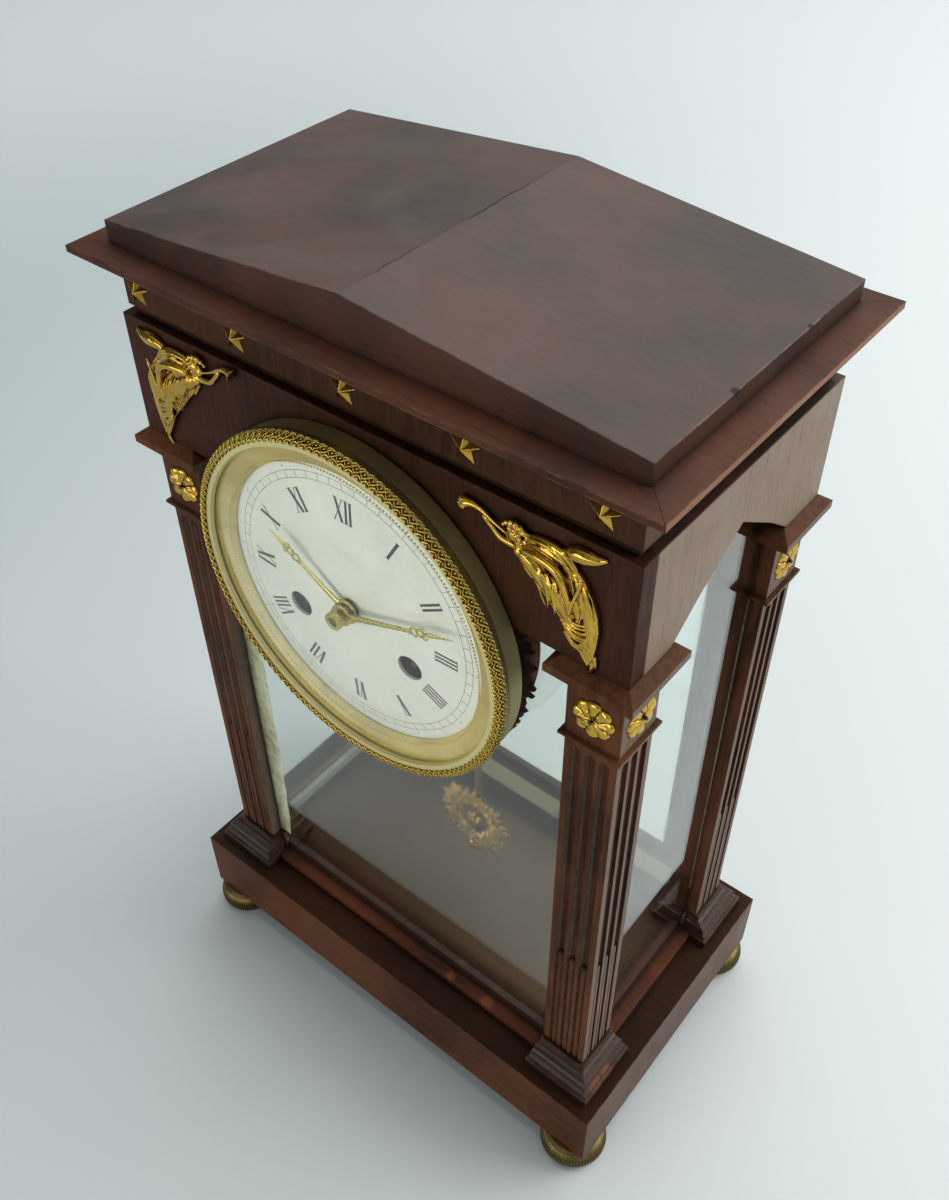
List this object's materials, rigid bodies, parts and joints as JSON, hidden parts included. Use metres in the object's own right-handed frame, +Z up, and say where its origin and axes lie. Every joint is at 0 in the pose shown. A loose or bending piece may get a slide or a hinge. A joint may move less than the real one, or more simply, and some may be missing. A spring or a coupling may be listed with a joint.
{
  "type": "four glass clock",
  "caption": "mahogany four glass mantel clock with fluted corner posts, glazed sides, enamel dial in a gilt bezel, striking movement and wreath pendulum",
  "frame": {"origin": "on the floor under the middle of the case, midway between the feet", "axes": "+Z up, the dial faces -Y, +X to the right of someone facing the dial"},
  "size_m": [0.247, 0.1563, 0.4008],
  "materials": {
    "mahogany": "french polished, dark red-brown",
    "drum_wood": "bare reddish beech",
    "putty": "dried dark red putty, torn edge",
    "pane": "clear old glass",
    "bead": "cream painted",
    "gilt": "fire gilt",
    "brass": "polished",
    "steel": "ground and polished",
    "enamel": "white vitreous enamel",
    "bell_metal": "turned, silvery"
  },
  "bodies": {
    "case": {"feet": "gilt", "plinth": "mahogany", "sills": "mahogany", "pilaster_bases": "mahogany", "pilaster_front_left": "mahogany", "pilaster_front_right": "mahogany", "pilaster_rear_left": "mahogany", "pilaster_rear_right": "mahogany", "capitals": "mahogany", "frieze_front": "mahogany", "frieze_boards": "mahogany", "star_band": "mahogany", "cornice": "mahogany", "roof_block": "mahogany", "drum_ring": "drum_wood", "drum_seal": "putty", "front_glass": "pane", "side_glasses": "pane", "glazing_beads": "bead", "rosettes": "gilt", "stars": "gilt", "victories": "gilt", "case_hinge_leaves": "brass", "dial_plate": "brass", "enamel_dial": "enamel", "mounting_straps": "steel", "front_plate": "brass", "back_plate": "brass", "pillars": "brass", "bell_stand": "steel", "bell": "bell_metal", "suspension_cock": "brass"},
    "door": {"rear_door_frame": "mahogany", "rear_door_glass": "pane", "door_hinge_leaves": "brass"},
    "button": {"door_turn_button": "brass"},
    "bezel_frame": {"bezel": "gilt", "bezel_glass": "pane", "sight_ring": "gilt"},
    "minute_set": {"cannon_pinion": "steel", "minute_hand": "gilt", "hand_nut": "brass"},
    "hour_set": {"hour_wheel": "brass", "hour_hand": "gilt"},
    "minute_wheel_set": {"minute_wheel": "brass"},
    "going_barrel_set": {"going_barrel": "brass"},
    "second_set": {"second_wheel": "brass"},
    "centre_set": {"centre_wheel": "brass"},
    "third_set": {"third_wheel": "brass"},
    "escape_set": {"escape_wheel": "brass"},
    "anchor_set": {"anchor": "steel"},
    "pendulum": {"pendulum_rod": "steel", "pendulum_bob": "gilt"},
    "rating_nut_set": {"rating_nut": "brass"},
    "strike_barrel_set": {"strike_barrel": "brass"},
    "strike_second_set": {"strike_second_wheel": "brass", "count_wheel": "steel"},
    "pin_set": {"pin_wheel": "brass"},
    "fly_set": {"fly": "steel"},
    "hammer_set": {"hammer": "steel"}
  },
  "joints": [
    {"name": "bezel_hinge", "type": "hinge", "parent": "case", "child": "bezel_frame", "pos_m": [-0.0722, -0.0626, 0.2835], "axis": [0, 0, -1], "range_deg": [0, 110]},
    {"name": "rear_door_hinge", "type": "hinge", "parent": "case", "child": "door", "pos_m": [-0.0842, 0.0593, 0.18], "axis": [0, 0, 1], "range_deg": [0, 105]},
    {"name": "turn_button_pivot", "type": "hinge", "parent": "case", "child": "button", "pos_m": [0.0922, 0.05745, 0.1683], "axis": [0, -1, 0], "range_deg": [0, 90]},
    {"name": "minute_hand_turn", "type": "hinge", "parent": "case", "child": "minute_set", "pos_m": [0, -0.06, 0.2835], "axis": [0, 1, 0], "continuous": true},
    {"name": "minute_wheel_turn", "type": "hinge", "parent": "case", "child": "minute_wheel_set", "pos_m": [0.006, -0.056, 0.29389], "axis": [0, 1, 0], "continuous": true},
    {"name": "hour_hand_turn", "type": "hinge", "parent": "case", "child": "hour_set", "pos_m": [0, -0.06, 0.2835], "axis": [0, 1, 0], "continuous": true},
    {"name": "third_wheel_turn", "type": "hinge", "parent": "case", "child": "third_set", "pos_m": [0.00471, -0.03, 0.29837], "axis": [0, 1, 0], "continuous": true},
    {"name": "centre_wheel_turn", "type": "hinge", "parent": "case", "child": "centre_set", "pos_m": [0, -0.03, 0.2835], "axis": [0, 1, 0], "continuous": true},
    {"name": "second_wheel_turn", "type": "hinge", "parent": "case", "child": "second_set", "pos_m": [0.0031, -0.03, 0.26699], "axis": [0, 1, 0], "continuous": true},
    {"name": "going_barrel_turn", "type": "hinge", "parent": "case", "child": "going_barrel_set", "pos_m": [0.026, -0.03, 0.27], "axis": [0, 1, 0], "continuous": true},
    {"name": "escape_wheel_turn", "type": "hinge", "parent": "case", "child": "escape_set", "pos_m": [0, -0.03, 0.3107], "axis": [0, 1, 0], "continuous": true},
    {"name": "pin_wheel_turn", "type": "hinge", "parent": "case", "child": "pin_set", "pos_m": [-0.02, -0.03, 0.30648], "axis": [0, 1, 0], "continuous": true},
    {"name": "strike_second_turn", "type": "hinge", "parent": "case", "child": "strike_second_set", "pos_m": [-0.01516, -0.03, 0.2904], "axis": [0, 1, 0], "continuous": true},
    {"name": "strike_barrel_turn", "type": "hinge", "parent": "case", "child": "strike_barrel_set", "pos_m": [-0.026, -0.03, 0.27], "axis": [0, 1, 0], "continuous": true},
    {"name": "fly_turn", "type": "hinge", "parent": "case", "child": "fly_set", "pos_m": [-0.024, -0.03, 0.31906], "axis": [0, 1, 0], "continuous": true},
    {"name": "pendulum_swing", "type": "hinge", "parent": "case", "child": "pendulum", "pos_m": [0, 0, 0.3285], "axis": [0, 1, 0], "range_deg": [-2.5, 2.5]},
    {"name": "anchor_rock", "type": "hinge", "parent": "case", "child": "anchor_set", "pos_m": [0, -0.02, 0.3285], "axis": [0, 1, 0], "range_deg": [-2.5, 2.5]},
    {"name": "hammer_lift", "type": "hinge", "parent": "case", "child": "hammer_set", "pos_m": [-0.038, -0.02, 0.3015], "axis": [0, 1, 0], "range_deg": [0, 14]},
    {"name": "rating_nut_turn", "type": "hinge", "parent": "pendulum", "child": "rating_nut_set", "pos_m": [0, 0.004, 0.06852], "axis": [0, 0, 1], "continuous": true}
  ],
  "couplings": [
    {"joint": "minute_wheel_turn", "follows": "minute_hand_turn", "ratio": -0.33333},
    {"joint": "hour_hand_turn", "follows": "minute_hand_turn", "ratio": 0.083333},
    {"joint": "centre_wheel_turn", "follows": "third_wheel_turn", "ratio": -0.083333},
    {"joint": "second_wheel_turn", "follows": "third_wheel_turn", "ratio": 0.013889},
    {"joint": "going_barrel_turn", "follows": "third_wheel_turn", "ratio": -0.0023148},
    {"joint": "escape_wheel_turn", "follows": "third_wheel_turn", "ratio": -10},
    {"joint": "strike_second_turn", "follows": "pin_wheel_turn", "ratio": -0.16667},
    {"joint": "strike_barrel_turn", "follows": "pin_wheel_turn", "ratio": 0.027778},
    {"joint": "fly_turn", "follows": "pin_wheel_turn", "ratio": -10},
    {"joint": "anchor_rock", "follows": "pendulum_swing", "ratio": 1}
  ]
}
